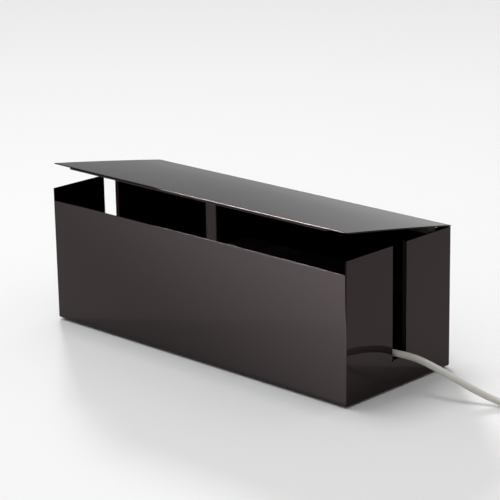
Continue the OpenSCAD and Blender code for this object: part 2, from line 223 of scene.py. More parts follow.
@meshEdit
def cleaned(work, gap=0.002, bend=0.05):
    bmesh.ops.remove_doubles(work, verts=work.verts, dist=gap * mm)
    bmesh.ops.dissolve_limit(work, angle_limit=radians(bend), verts=work.verts, edges=work.edges)


@meshEdit
def roundEdges(work, width, choose, steps=2, bend=30):
    # rounds the edges that bend more than so many degrees and whose middle is chosen
    picked = []
    for edge in work.edges:
        middle = (edge.verts[0].co + edge.verts[1].co) / 2 / mm
        if len(edge.link_faces) == 2 and edge.calc_face_angle() > radians(bend) and choose(middle):
            picked.append(edge)
    bmesh.ops.bevel(work, geom=picked, offset=width * mm, segments=steps, profile=0.5,
                    affect="EDGES", clamp_overlap=True)


@meshEdit
def sliced(work, axis, places):
    # adds cuts across the piece, so that it can bend there
    normal = Vector([1 if axis == name else 0 for name in "XYZ"])
    for place in places:
        geometry = work.verts[:] + work.edges[:] + work.faces[:]
        bmesh.ops.bisect_plane(work, geom=geometry, plane_co=normal * place * mm, plane_no=normal)


def moved(piece, rule):
    for vertex in piece.data.vertices:
        vertex.co = Vector(rule(vertex.co / mm)) * mm
    return piece


@meshEdit
def mirrored(work):
    for vertex in work.verts:
        vertex.co.x = -vertex.co.x
    bmesh.ops.reverse_faces(work, faces=work.faces)


def joined(name, pieces):
    work = bmesh.new()
    for piece in pieces:
        work.from_mesh(piece.data)
        bpy.data.objects.remove(piece)
    mesh = bpy.data.meshes.new(name)
    work.to_mesh(mesh)
    work.free()
    whole = bpy.data.objects.new(name, mesh)
    bpy.context.collection.objects.link(whole)
    return whole


@meshEdit
def shade(work, sharpest=35, panel=40, level=2):
    # smooth over gentle bends, while faces larger than panel (square mm) stay truly flat
    wide = {face for face in work.faces if face.calc_area() > panel * mm * mm}
    for face in work.faces:
        face.smooth = True
    for edge in work.edges:
        if len(edge.link_faces) == 2:
            bend = edge.calc_face_angle()
            flat = any(face in wide for face in edge.link_faces)
            edge.smooth = not (bend > radians(sharpest) or (flat and bend > radians(level)))


# finishes

def calculated(tree, operation, *values):
    # a Math node, whose values are numbers or other nodes' outputs
    node = tree.nodes.new("ShaderNodeMath")
    node.operation = operation
    for socket, value in zip(node.inputs, values):
        if isinstance(value, (int, float)):
            socket.default_value = value
        else:
            tree.links.new(value, socket)
    return node.outputs["Value"]


def ranged(tree, value, fromLow, fromHigh, toLow=0, toHigh=1, kind="LINEAR"):
    node = tree.nodes.new("ShaderNodeMapRange")
    node.interpolation_type = kind
    node.inputs["From Min"].default_value, node.inputs["From Max"].default_value = fromLow, fromHigh
    node.inputs["To Min"].default_value, node.inputs["To Max"].default_value = toLow, toHigh
    tree.links.new(value, node.inputs["Value"])
    return node.outputs["Result"]


def newGroup(name, inputs, output):
    group = bpy.data.node_groups.new(name, "ShaderNodeTree")
    for title, value in inputs:
        socket = group.interface.new_socket(title, in_out="INPUT", socket_type="NodeSocketFloat")
        socket.default_value = value
    group.interface.new_socket(output, in_out="OUTPUT", socket_type="NodeSocketFloat")
    return group


def makeUnevenGroup():
    # a soft patchy value between Low and High, for polish and tone that are never quite even
    group = newGroup("uneven", [("Scale", 30), ("Low", 0.1), ("High", 0.2)], "Value")
    make, link = group.nodes.new, group.links.new
    given, out = make("NodeGroupInput"), make("NodeGroupOutput")
    place, cloud = make("ShaderNodeTexCoord"), make("ShaderNodeTexNoise")
    cloud.inputs["Detail"].default_value = 3
    spread = ranged(group, cloud.outputs["Fac"], 0.3, 0.7)  # most of the noise lies between these
    link(place.outputs["Object"], cloud.inputs["Vector"])
    link(given.outputs["Scale"], cloud.inputs["Scale"])
    link(given.outputs["Low"], spread.node.inputs["To Min"])
    link(given.outputs["High"], spread.node.inputs["To Max"])
    link(spread, out.inputs["Value"])
    return group


def makeGrainGroup():
    # fine relief: orange peel, moulded grain or, with a Stretch far below 1, brush lines along X
    group = newGroup("grain", [("Scale", 1500), ("Stretch", 1)], "Height")
    make, link = group.nodes.new, group.links.new
    given, out = make("NodeGroupInput"), make("NodeGroupOutput")
    place, squeeze = make("ShaderNodeTexCoord"), make("ShaderNodeVectorMath")
    factors, speckle = make("ShaderNodeCombineXYZ"), make("ShaderNodeTexNoise")
    squeeze.operation = "MULTIPLY"
    speckle.inputs["Detail"].default_value = 2
    factors.inputs["Y"].default_value = 1
    factors.inputs["Z"].default_value = 1
    link(given.outputs["Stretch"], factors.inputs["X"])
    link(place.outputs["Object"], squeeze.inputs[0])
    link(factors.outputs["Vector"], squeeze.inputs[1])
    link(squeeze.outputs["Vector"], speckle.inputs["Vector"])
    link(given.outputs["Scale"], speckle.inputs["Scale"])
    link(speckle.outputs["Fac"], out.inputs["Height"])
    return group


def makeWeaveGroup():
    # over and under of a woven strap, as the product of two waves
    group = newGroup("weave", [("Scale", 900)], "Height")
    make, link = group.nodes.new, group.links.new
    given, out, place = make("NodeGroupInput"), make("NodeGroupOutput"), make("ShaderNodeTexCoord")
    waves = []
    for way in ("X", "DIAGONAL"):
        wave = make("ShaderNodeTexWave")
        wave.bands_direction = way
        link(place.outputs["Object"], wave.inputs["Vector"])
        link(given.outputs["Scale"], wave.inputs["Scale"])
        waves.append(wave.outputs["Fac"])
    link(calculated(group, "MULTIPLY", *waves), out.inputs["Height"])
    return group


uneven = makeUnevenGroup()
grain = makeGrainGroup()
weave = makeWeaveGroup()


def placeGroup(material, group, **values):
    node = material.node_tree.nodes.new("ShaderNodeGroup")
    node.node_tree = group
    for title, value in values.items():
        node.inputs[title].default_value = value
    return node


finer = 1.7  # the polish is uneven on a finer scale than the tone


def makeFinish(name, look):
    material = bpy.data.materials.new(name)
    material.use_nodes = True
    make, link = material.node_tree.nodes.new, material.node_tree.links.new
    shader = material.node_tree.nodes["Principled BSDF"]
    shader.inputs["Metallic"].default_value = look.get("metallic", 0)
    shader.inputs["IOR"].default_value = look.get("ior", 1.5)
    shader.inputs["Sheen Weight"].default_value = look.get("sheen", 0)
    shader.inputs["Specular Tint"].default_value = (*look.get("tint", (1, 1, 1)), 1)
    tone = placeGroup(material, uneven, Scale=look["patch"], Low=0, High=1)
    blend = make("ShaderNodeMix")
    blend.data_type = "RGBA"
    blend.inputs["A"].default_value = (*look["dark"], 1)
    blend.inputs["B"].default_value = (*look["light"], 1)
    link(tone.outputs["Value"], blend.inputs["Factor"])
    link(blend.outputs["Result"], shader.inputs["Base Color"])
    low, high = look["rough"]
    polish = placeGroup(material, uneven, Scale=look["patch"] * finer, Low=low, High=high)
    link(polish.outputs["Value"], shader.inputs["Roughness"])
    if "weave" in look:
        relief = placeGroup(material, weave, Scale=look["weave"])
    else:
        relief = placeGroup(material, grain, Scale=look["grain"], Stretch=look.get("stretch", 1))
    bump = make("ShaderNodeBump")
    bump.inputs["Strength"].default_value = look["bump"]
    bump.inputs["Distance"].default_value = look["depth"] * mm
    link(relief.outputs["Height"], bump.inputs["Height"])
    link(bump.outputs["Normal"], shader.inputs["Normal"])
    return material


# colours are linear; patch, grain and weave are counts per metre, depth is the relief's
looks = {
    "dark_paint": {"dark": (0.0036, 0.0019, 0.0018), "light": (0.0044, 0.0024, 0.0023), "patch": 9,
                   "ior": 1.33, "tint": (1.0, 0.65, 0.65), "rough": (0.035, 0.055), "grain": 420,
                   "bump": 0.05, "depth": 0.01},
    "zinc": {"dark": (0.27, 0.255, 0.24), "light": (0.37, 0.35, 0.33), "patch": 160, "metallic": 1,
             "rough": (0.28, 0.42), "grain": 2600, "stretch": 0.06, "bump": 0.25, "depth": 0.03},
    "foot_rubber": {"dark": (0.012, 0.012, 0.013), "light": (0.020, 0.020, 0.022), "patch": 120,
                    "rough": (0.65, 0.8), "grain": 3200, "bump": 0.4, "depth": 0.05},
    "strip_plastic": {"dark": (0.56, 0.55, 0.52), "light": (0.62, 0.61, 0.58), "patch": 25,
                      "rough": (0.34, 0.44), "grain": 2400, "bump": 0.22, "depth": 0.03},
    "contact_brass": {"dark": (0.50, 0.33, 0.11), "light": (0.63, 0.44, 0.18), "patch": 140,
                      "metallic": 1, "rough": (0.25, 0.4), "grain": 2600, "stretch": 0.08,
                      "bump": 0.2, "depth": 0.03},
    "wire_plastic": {"dark": (0.07, 0.03, 0.012), "light": (0.11, 0.05, 0.02), "patch": 60,
                     "rough": (0.4, 0.5), "grain": 2000, "bump": 0.1, "depth": 0.03},
    "lead_plastic": {"dark": (0.74, 0.72, 0.65), "light": (0.79, 0.77, 0.70), "patch": 40,
                     "rough": (0.26, 0.34), "grain": 900, "bump": 0.12, "depth": 0.04},
    "plug_plastic": {"dark": (0.68, 0.66, 0.60), "light": (0.73, 0.71, 0.65), "patch": 50,
                     "rough": (0.34, 0.46), "grain": 1900, "bump": 0.22, "depth": 0.04},
    "plug_nickel": {"dark": (0.58, 0.56, 0.52), "light": (0.68, 0.66, 0.62), "patch": 90,
                    "metallic": 1, "rough": (0.12, 0.2), "grain": 3000, "bump": 0.05, "depth": 0.02},
    "tie_fabric": {"dark": (0.012, 0.012, 0.013), "light": (0.026, 0.026, 0.028), "patch": 200,
                   "sheen": 0.3, "rough": (0.8, 0.95), "weave": 420, "bump": 0.7, "depth": 0.25},
}
finishes = {name: makeFinish(name, look) for name, look in looks.items()}


wires = {
    "reach": 20,  # of the three colours, to each side of the strip's middle
    # where each colour starts: live, earth and neutral
    "colours": [(-20, (0.10, 0.035, 0.012)), (-1.0, (0.09, 0.28, 0.03)), (1.0, (0.02, 0.07, 0.32))],
}


def colourWires():
    # live, earth and neutral by their place across the strip
    tree, reach = finishes["wire_plastic"].node_tree, wires["reach"]
    make, link = tree.nodes.new, tree.links.new
    place, parts = make("ShaderNodeTexCoord"), make("ShaderNodeSeparateXYZ")
    ramp = make("ShaderNodeValToRGB")
    ramp.color_ramp.interpolation = "CONSTANT"
    ramp.color_ramp.elements[1].position = 0.5
    ramp.color_ramp.elements.new(0.5)
    for element, (start, colour) in zip(ramp.color_ramp.elements, wires["colours"]):
        element.position = (start + reach) / (2 * reach)
        element.color = (*colour, 1)
    link(place.outputs["Object"], parts.inputs["Vector"])
    across = ranged(tree, parts.outputs["Y"], (midY - reach) * mm, (midY + reach) * mm)
    link(across, ramp.inputs["Fac"])
    link(ramp.outputs["Color"], tree.nodes["Principled BSDF"].inputs["Base Color"])


# painted shade: a dark, dull tone on the slot rims, where the inside of the cord slots lies in shade
rimShade = {
    "colour": (0.022, 0.011, 0.011),
    "dull": 0.8,  # added to the roughness
    "halfWidth": 10.3,
    "margin": 0.2,  # the tone reaches this far past a rim's inner end and its top
    "skin": 0.75,  # and stops this short of the end panel's outer face
}


def paintRimShade():
    # the folded rims of the cord slots are coloured darker and made duller than the paint round about: the dark
    # colour is painted shade for the inside of the slots
    tree = finishes["dark_paint"].node_tree
    make, link = tree.nodes.new, tree.links.new
    shader = tree.nodes["Principled BSDF"]
    place, parts = make("ShaderNodeTexCoord"), make("ShaderNodeSeparateXYZ")
    shift, tone = make("ShaderNodeVectorMath"), make("ShaderNodeMix")
    tone.data_type = "RGBA"
    tone.inputs["B"].default_value = (*rimShade["colour"], 1)
    shift.operation = "SUBTRACT"
    shift.inputs[1].default_value = (0, midY * mm, 0)
    link(place.outputs["Object"], shift.inputs[0])
    link(shift.outputs["Vector"], parts.inputs["Vector"])
    limits = [("X", "GREATER_THAN", rimX - rimShade["margin"], True),
              ("X", "LESS_THAN", halfLength - rimShade["skin"], True),
              ("Y", "LESS_THAN", rimShade["halfWidth"], True),
              ("Z", "LESS_THAN", wallTop + rimShade["margin"], False)]
    inside = None
    for axis, test, limit, bothSides in limits:
        value = parts.outputs[axis]
        if bothSides:
            value = calculated(tree, "ABSOLUTE", value)
        passed = calculated(tree, test, value, limit * mm)
        inside = calculated(tree, "MULTIPLY", inside, passed) if inside else passed
    link(inside, shader.inputs["Metallic"])
    link(inside, tone.inputs["Factor"])
    link(shader.inputs["Base Color"].links[0].from_socket, tone.inputs["A"])
    link(tone.outputs["Result"], shader.inputs["Base Color"])
    polish = shader.inputs["Roughness"].links[0].from_socket
    link(calculated(tree, "MULTIPLY_ADD", inside, rimShade["dull"], polish), shader.inputs["Roughness"])


colourWires()
paintRimShade()
print("finishes:", ", ".join(finishes))


def complete(piece, body, slot, *replaced):
    piece.data.materials.clear()
    piece.data.materials.append(finishes[slot])
    if replaced:
        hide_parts(*replaced)
    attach(piece, body)
    print("made", piece.name)
    return piece


# lead: strip to slot, over the sill, down to the table, coil, plug

lead = {
    "diameter": 6.6,
    "sides": 8,  # steps in each quarter of its round section
    "smoothing": 4,  # steps from one point of the route to the next
    "run": [(135, -1.1, 22), (141, -1.1, 22), (149, -1, 23.6), (158, -1, 26.4), (168, -1.3, 29.8),
            (179, -2.3, 32.6), (190, -2.9, 34.1), (200, -2.5, 34.4), (210, -0.5, 34.2),
            (222, 1.5, 32.9), (234, 2.5, 30.2), (246, 4, 26.6), (257, 6.5, 22.4), (268, 10, 17.4),
            (278, 13.6, 12.8), (287, 17.1, 9), (295, 20, 6.1), (302.4, 21.8, 4.3), (310, 22, 3.5),
            (317.2, 20.4, 3.4), (324, 17, 3.5), (329.8, 12.1, 3.8)],
    "tail": [(420, 35, 10.7), (420, 44, 10), (420, 52, 8.5), (420, 58, 8.5)],
    "coilCentre": (374, 29),
    "coilRadius": 46,
    "coilInner": 27.6,
    "layers": (4.1, 10.7),
    "coilStart": 210,
    "turns": 5 + 150 / 360,
    "stepsPerTurn": 32,
    "climb": 0.3,  # turns taken to rise to the upper layer
}


def coilPoints():
    # the lower layer winds inward, the upper one back outward
    low, high = lead["layers"]
    half = lead["turns"] / 2
    steps = round(lead["turns"] * lead["stepsPerTurn"])
    points = []
    for i in range(steps + 1):
        turn = lead["turns"] * i / steps
        inward = 1 - abs(turn - half) / half
        radius = lead["coilRadius"] - (lead["coilRadius"] - lead["coilInner"]) * inward
        rise = min(1, max(0, (turn - half) / lead["climb"] + 0.5))
        height = low + (high - low) * rise * rise * (3 - 2 * rise)
        angle = radians(lead["coilStart"] + 360 * turn)
        points.append((lead["coilCentre"][0] + radius * cos(angle),
                       lead["coilCentre"][1] + radius * sin(angle), height))
    return points


def smoothLine(points, steps):
    # an even curve that follows the points and starts and ends on the first and last of them
    line = [Vector(p) for p in points]
    line = [2 * line[0] - line[1]] + line + [2 * line[-1] - line[-2]]
    out = []
    for i in range(len(line) - 3):
        a, b, c, d = line[i:i + 4]
        for k in range(steps):
            t = k / steps
            out.append(((1 - t) ** 3 * a + (3 * t ** 3 - 6 * t * t + 4) * b
                        + (1 + 3 * t + 3 * t * t - 3 * t ** 3) * c + t ** 3 * d) / 6)
    out.append(line[-2])
    return out


def makeLead():
    path = smoothLine(lead["run"] + coilPoints() + lead["tail"], lead["smoothing"])
    data = bpy.data.curves.new("mains_lead", "CURVE")
    data.dimensions = "3D"
    data.bevel_depth = lead["diameter"] / 2 * mm
    data.bevel_resolution = lead["sides"]
    data.use_fill_caps = True
    spline = data.splines.new("POLY")
    spline.points.add(len(path) - 1)
    for point, place in zip(spline.points, path):
        point.co = (*(place * mm), 1)
    spline.use_smooth = True
    cord = bpy.data.objects.new("mains_lead", data)
    bpy.context.collection.objects.link(cord)
    complete(cord, "box", "lead_plastic", "cord_run", "cord_coil", "cord_tail")
    length = sum((b - a).length for a, b in zip(path, path[1:])) * mm
    print("lead length:", round(length, 3), "m")
    return cord, path[0] * mm, length


mainsLead, leadExit, leadLength = makeLead()


# steel box

box = {
    "fold": 1.8,  # outer radius of the folds along the base
    "foldSteps": 6,
    "roundSteps": 5,  # of the edges that show most
    "frontTop": 129.0,
    "frontBow": 0.6,  # how far the front wall's top edge rises in the middle
    "stations": 40,  # steps along the trough
    "edgeZone": 1.0,  # the free edges lie above the front wall's top less this
    "frontEdge": 0.2,  # rounding of the front wall's top
    "edge": 0.25,  # softening of the other free sheet edges
    "corner": 0.9,  # softening of the upright corners
    "notch": (36.8, 137.7),  # width and lower edge of the cut for each hinge barrel
    "hingeX": 165.0,
    "slot": 20.0,
    "sill": 30.0,
    "slotBend": 0.95,  # outer radius where the rims turn in
    "slotZone": 0.3,  # edges this near the slot are its own
    "relief": 1.1,  # radius of the small round cuts where the slot's rims meet
    "reliefCut": (10.0, 20),  # and their cutter's length and number of sides
}


def makeTrough():
    fold, inner, steps = box["fold"], box["fold"] - sheet, box["foldSteps"]

    def ring(x):
        top = box["frontTop"] + box["frontBow"] * (1 - (x / halfLength) ** 2)
        outside = [(frontY, top)]
        outside += arc((frontY + fold, underZ + fold), fold, 180, 270, steps)
        outside += arc((rearY - fold, underZ + fold), fold, 270, 360, steps)
        outside += [(rearY, wallTop)]
        inside = [(rearY - sheet, wallTop)]
        inside += arc((rearY - fold, underZ + fold), inner, 360, 270, steps)
        inside += arc((frontY + fold, underZ + fold), inner, 270, 180, steps)
        inside += [(frontY + sheet, top)]
        return [(x, y, z) for y, z in outside + inside]

    stations = box["stations"]
    rings = [ring(-troughEnd + 2 * troughEnd * i / stations) for i in range(stations + 1)]
    piece = loft("steel_trough", rings)
    width, bottom = box["notch"]
    cuts = []
    for side in (-1, 1):
        middle = side * box["hingeX"]
        low = (middle - width / 2, rearY - sheet - past, bottom)
        cuts.append(block(low, (middle + width / 2, rearY + past, wallTop + past)))
    combine(piece, cuts)

    def free(m):
        return m.z > box["frontTop"] - box["edgeZone"] and abs(m.x) < troughEnd - near

    roundEdges(piece, box["frontEdge"], lambda m: free(m) and m.y < midY, box["roundSteps"])
    roundEdges(piece, box["edge"], lambda m: free(m) and m.y > midY)
    return complete(shade(piece), "box", "dark_paint", "trough")


def makeEndPanel(name):
    # drawn for the +X end
    fold, steps = box["fold"], box["foldSteps"]
    half, sill = box["slot"] / 2, box["sill"]
    outer = arc((frontY + fold, underZ + fold), fold, 180, 270, steps)
    outer += arc((rearY - fold, underZ + fold), fold, 270, 360, steps)
    outer += [(rearY, wallTop), (frontY, wallTop)]
    piece = loft(name, [[(x, y, z) for y, z in outer] for x in (halfLength - sheet, halfLength)])
    low = (rimX, midY - half - sheet, sill - sheet)
    high = (halfLength - sheet / 2, midY + half + sheet, wallTop)
    combine(piece, [block(low, high)], "UNION")
    low, high = (rimX - past, midY - half, sill), (halfLength + past, midY + half, wallTop + past)
    combine(piece, [block(low, high)])
    places = [(rimX - past, midY + side * half, sill) for side in (-1, 1)]
    length, sides = box["reliefCut"]
    combine(piece, [rod(place, box["relief"], length, "X", sides) for place in places])
    cleaned(piece)

    def outside(m):
        return m.x > halfLength - near

    def slotBend(m):
        aside = abs(m.y - midY)
        return outside(m) and aside < half + box["slotZone"] and m.z > sill - near and (
            aside > half - near or m.z < sill + near)

    def corner(m):
        return outside(m) and (m.y < frontY + fold or m.y > rearY - fold or m.z < underZ + fold)

    roundEdges(piece, box["slotBend"], slotBend, box["roundSteps"])
    roundEdges(piece, box["corner"], corner, box["roundSteps"], bend=60)
    roundEdges(piece, box["edge"], lambda m: m.z > wallTop - near or m.x < rimX + near, bend=60)
    return piece


lid = {
    "under": 142.3,  # underside when shut
    "cornerRadius": 1.0,
    "cornerSteps": 8,
    "hemDepth": 12.0,
    "hemInset": 25.0,
    "hem": (2.7, 1.0, 0.12),  # height of the fold, upper and lower radius
    "hemSteps": (10, 3),
    "hemRoot": 2.0,  # how far in the fold joins the sheet
    "edge": 0.25,
    "topEdge": (0.85, 6),  # radius and steps
    "sag": 0.4,  # of the front edge, halfway along
    "crown": 1.9,  # the sheet bulges a quarter of this between its front and its rear edge
    "cutsX": range(-190, 200, 10),  # where the sheet can bend
    "cutsY": range(-60, 70, 15),
}


def opened(point):
    # from shut to the open rest position, about the hinge axis
    turn = radians(lidOpen)
    out, up = point[1] - hingeAxis.y, point[2] - hingeAxis.z
    y = hingeAxis.y + out * cos(turn) + up * sin(turn)
    z = hingeAxis.z - out * sin(turn) + up * cos(turn)
    return point[0], y, z


def sagged(point):
    out = max(0, (rearY - point[1]) / (rearY - frontY))
    along = 1 - (point[0] / halfLength) ** 2
    rise = lid["crown"] * out * max(0, 1 - out) - lid["sag"] * along * out * out
    return point[0], point[1], point[2] + rise


def makeLid():
    radius, steps = lid["cornerRadius"], lid["cornerSteps"]
    under, top = lid["under"], lid["under"] + sheet
    outline = [(halfLength, rearY), (-halfLength, rearY)]
    outline += arc((-halfLength + radius, frontY + radius), radius, 180, 270, steps)
    outline += arc((halfLength - radius, frontY + radius), radius, 270, 360, steps)
    piece = loft("steel_lid", [[(x, y, z) for x, y in outline] for z in (under, top)])
    width, steps = lid["topEdge"]
    roundEdges(piece, width, lambda m: m.z > top - near, steps, bend=60)
    roundEdges(piece, lid["edge"], lambda m: m.z < under + near, bend=60)
    ends = lid["hemInset"] - halfLength, halfLength - lid["hemInset"]
    low, high = (ends[0], frontY - past, under - past), (ends[1], frontY + sheet, top + past)
    combine(piece, [block(low, high)])
    tall, upper, lower = lid["hem"]
    fold = arc((frontY + upper, top - upper), upper, 90, 180, lid["hemSteps"][0])
    fold += arc((frontY + lower, top - tall + lower), lower, 180, 270, lid["hemSteps"][1])
    fold += [(frontY + lid["hemDepth"], under - sheet), (frontY + lid["hemDepth"], under)]
    fold += [(frontY + sheet + lid["hemRoot"], top)]
    turnedUnder = loft("hem", [[(x, y, z) for y, z in fold] for x in ends])
    combine(piece, [turnedUnder], "UNION")
    cleaned(piece)
    roundEdges(piece, lid["edge"], lambda m: m.z < under - sheet / 2, bend=60)
    sliced(piece, "X", lid["cutsX"])
    sliced(piece, "Y", lid["cutsY"])
    moved(piece, sagged)
    moved(piece, opened)
    return complete(shade(piece), "lid", "dark_paint", "lid")


makeTrough()
complete(shade(makeEndPanel("steel_end_right")), "box", "dark_paint", "end_panel_right")
complete(shade(mirrored(makeEndPanel("steel_end_left"))), "box", "dark_paint", "end_panel_left")
makeLid()


# socket strip

strip = {
    "wall": 2.2,
    "planRadius": 8.0,
    "crown": 3.0,  # radius along the top edge
    "crownStep": 15,  # degrees
    "seam": 0.4,
    "sockets": 5,
    "firstSocket": -126.0,
    "pitch": 44.0,
    "holePitch": 9.5,
    "holeRadius": 2.4,
    "holeFlare": 0.7,
    "holeDepth": 5.0,
    "holeSides": 28,
    "dish": (30.0, 13.0, 0.8),  # length across, width and depth of the dish round each socket's holes
    "dishSides": [(1.2, 1), (0.5, 0.35), (0, 0)],  # inset and share of the depth, from the bottom up
    "neck": 4.65,  # radius of the lead's way in
    "neckCut": 10.0,
}


def stripRing(inset, z):
    return [(x, y, z) for x, y in insetOutline(coverLow, coverHigh, strip["planRadius"], inset)]


def makeStripCover():
    top, crown, wall = coverHigh.z, strip["crown"], strip["wall"]
    rings = [stripRing(strip["seam"], leadZ), stripRing(0, leadZ + strip["seam"])]
    for turn in range(0, 91, strip["crownStep"]):
        angle = radians(turn)
        rings.append(stripRing(crown - crown * cos(angle), top - crown + crown * sin(angle)))
    piece = loft("strip_top", rings)
    combine(piece, [loft("hollow", [stripRing(wall, leadZ - past), stripRing(wall, top - wall)])])
    sockets = [strip["firstSocket"] + strip["pitch"] * i for i in range(strip["sockets"])]
    across, width, depth = strip["dish"]
    levels = [(inset, -depth * share) for inset, share in strip["dishSides"]] + [(0, past)]
    cuts = []
    for x in sockets:
        low, high = (x - width / 2, midY - across / 2), (x + width / 2, midY + across / 2)
        rings = []
        for inset, up in levels:
            outline = insetOutline(low, high, width / 2 - near, inset)
            rings.append([(px, py, top + up) for px, py in outline])
        cuts.append(loft("dish", rings))
    flare, radius = strip["holeFlare"], strip["holeRadius"]
    shape = [(-strip["holeDepth"], radius), (-depth - flare, radius)]
    shape += [(-depth, radius + flare), (past, radius + flare)]
    for x in sockets:
        for row in (-1, 0, 1):
            centre = (x, midY + row * strip["holePitch"], top)
            cuts.append(spun("hole", shape, centre, "Z", strip["holeSides"], closed=False))
    wayIn = (coverHigh.x - strip["neckCut"] / 2, midY, leadZ)
    cuts.append(rod(wayIn, strip["neck"], strip["neckCut"], "X"))
    combine(piece, cuts)
    return complete(shade(piece, sharpest=40, panel=200), "box", "strip_plastic", "strip_cover")


relief = {
    "large": 6.0,
    "small": 4.3,
    "bore": 3.35,
    "chamfer": 0.3,
    "rings": 6,
    "ringStart": 2.5,
    "plain": 4.0,  # of its length, without rings
    "groove": 1.3,
    "depth": 1.1,
    "wall": 0.5,  # the least that a groove leaves
    "grooveSide": [(-0.25, 0), (0.1, 0.7), (0.35, 1)],  # way in and share of the depth
    "tip": [(0.5, 0), (0.15, 0.15), (0, 0.5)],  # back from the end and in from the side
    "play": 0.05,  # to the housing's wall
    "flange": 2.0,  # behind that wall
    "gap": 0.02,  # in front of it
}


def reliefOutline(length):
    # a tapering sleeve with grooves that let it flex, from (0, large) to (length, small)
    def radius(along):
        return relief["large"] + (relief["small"] - relief["large"]) * along / length

    chamfer, bore, side = relief["chamfer"], relief["bore"], relief["grooveSide"]
    outline = [(0, bore), (0, relief["large"] - chamfer), (chamfer, radius(chamfer))]
    pitch = (length - relief["plain"]) / relief["rings"]
    for i in range(relief["rings"]):
        start = relief["ringStart"] + pitch * i
        end = start + relief["groove"]
        deep = min(relief["depth"], radius(start) - bore - relief["wall"])
        outline += [(start + into, radius(start) - deep * share) for into, share in side]
        outline += [(end - into, radius(end) - deep * share) for into, share in reversed(side)]
    outline += [(length - back, relief["small"] - inward) for back, inward in relief["tip"]]
    return outline + [(length, bore)]


def makeStripRelief():
    end = coverHigh.x
    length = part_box("strain_relief")[1].x / mm - end
    play, large, front = relief["play"], relief["large"], -relief["gap"]
    neck, back = strip["wall"] + play, strip["wall"] + play + relief["flange"]
    inside = [(-back, relief["bore"]), (-back, large), (-neck, large), (-neck, strip["neck"] - play),
              (front, strip["neck"] - play), (front, large - relief["chamfer"])]
    outline = inside + reliefOutline(length)[2:]
    piece = spun("strip_strain_relief", outline, (end, midY, leadZ), "X")
    return complete(shade(piece, sharpest=40, panel=1000), "box", "lead_plastic", "strain_relief")


makeStripCover()
makeStripRelief()


# plug and tie

plug = {
    "relief": 22.0,
    "corner": 5.5,  # of its cross section
    "noseRadius": 1.2,
    "backRadius": 5.0,
    "grips": 5,
    "gripPitch": 3.4,
    "gripDepth": 0.9,
    "gripStart": 8.0,
    "pinHole": 2.1,
    "pinDepth": 7.0,
    "boreDepth": 3.0,
    "flatter": 0.8,  # the broad sides draw in by this share of the narrow ones
    "flat": 0.2,  # left between two round corners
    # where the body is cut across: near its cord end, along its grips and back from its nose
    "backCuts": [0, 0.15, 0.5, 1, 1.7, 2.6, 3.7, 5],
    "gripCuts": (48, 0.6),  # number and distance
    "noseCuts": [1.2, 0.8, 0.45, 0.15, 0],
}


def plugInset(along, length):
    # how far the body's sides draw in at a distance from its cord end
    inset = 0
    for distance, radius in ((along, plug["backRadius"]), (length - along, plug["noseRadius"])):
        if distance < radius:
            inset += radius * (1 - (1 - (1 - distance / radius) ** 2) ** 0.5)
    return inset


def plugGrip(along):
    # finger grooves across the two narrow sides
    place = (along - plug["gripStart"]) / plug["gripPitch"]
    if 0 < place < plug["grips"]:
        return plug["gripDepth"] * (1 - cos(2 * pi * place)) / 2
    return 0


def makePlug():
    back, front = plugLow.y + plug["relief"], plugHigh.y
    length = front - back
    middleX, middleZ = (plugLow.x + plugHigh.x) / 2, (plugLow.z + plugHigh.z) / 2
    halfWidth, halfHeight = (plugHigh.x - plugLow.x) / 2, (plugHigh.z - plugLow.z) / 2
    count, step = plug["gripCuts"]
    places = plug["backCuts"] + [plug["backCuts"][-1] + step * i for i in range(1, count + 1)]
    places += [length - cut for cut in plug["noseCuts"]]
    rings = []
    for along in places:
        inset = plugInset(along, length)
        wide = halfWidth - inset - plugGrip(along)
        tall = halfHeight - inset * plug["flatter"]
        corner = min(plug["corner"], tall - plug["flat"], wide - plug["flat"])
        ring = roundedOutline((-wide, -tall), (wide, tall), corner)
        rings.append([(middleX + x, back + along, middleZ + z) for x, z in ring])
    piece = loft("plug_moulding", rings)
    cuts = []
    for row in (-1, 0, 1):
        place = (middleX + row * strip["holePitch"], front - plug["pinDepth"], middleZ)
        cuts.append(rod(place, plug["pinHole"], plug["pinDepth"] + past, "Y"))
    cuts.append(rod((middleX, back - past, middleZ), relief["bore"], plug["boreDepth"] + past, "Y"))
    combine(piece, cuts)
    outline = [(plug["relief"] - along, radius) for along, radius in reliefOutline(plug["relief"])]
    sleeve = spun("sleeve", outline, (middleX, plugLow.y, middleZ), "Y")
    whole = shade(joined("plug_moulding", [piece, sleeve]), sharpest=40, panel=200)
    return complete(whole, "box", "plug_plastic", "plug_body")


tie = {
    "thickness": 0.8,
    "corner": 3.2,
    "soft": 0.2,  # bevel along the strap's edges
    "tab": 9.0,  # free end that lies over the strap
    "tabStart": 2.0,  # from the corner
    "tabInset": 0.4,  # it is this much narrower on each side
    "tabSink": 0.05,
    "tabNose": 0.5,
    "tabEdge": 0.3,
}


def makeTie():
    x0, x1 = tieLow.x, tieHigh.x
    thick, corner, soft = tie["thickness"], tie["corner"], tie["soft"]
    low, high = (tieLow.y, tieLow.z), (tieHigh.y, tieHigh.z)
    outer, middle, inner = (insetOutline(low, high, corner, inset) for inset in (0, soft, thick))
    section = [(x0, middle), (x0 + soft, outer), (x1 - soft, outer)]
    section += [(x1, middle), (x1, inner), (x0, inner)]
    strap = loft("strap", [[(x, y, z) for y, z in outline] for x, outline in section], closed=True)
    start, top = high[0] - corner - tie["tabStart"], high[1] + thick
    end, base = start - tie["tab"], high[1] - tie["tabSink"]
    side = [(start, base), (end, base), (end - tie["tabNose"], high[1] + tie["tabNose"])]
    side += [(end, top), (start - tie["tabEdge"], top), (start, top - tie["tabEdge"])]
    inset = tie["tabInset"]
    tab = loft("tab", [[(x, y, z) for y, z in side] for x in (x0 + inset, x1 - inset)])
    whole = shade(joined("coil_strap", [strap, tab]), panel=1000)
    return complete(whole, "box", "tie_fabric", "cord_tie")


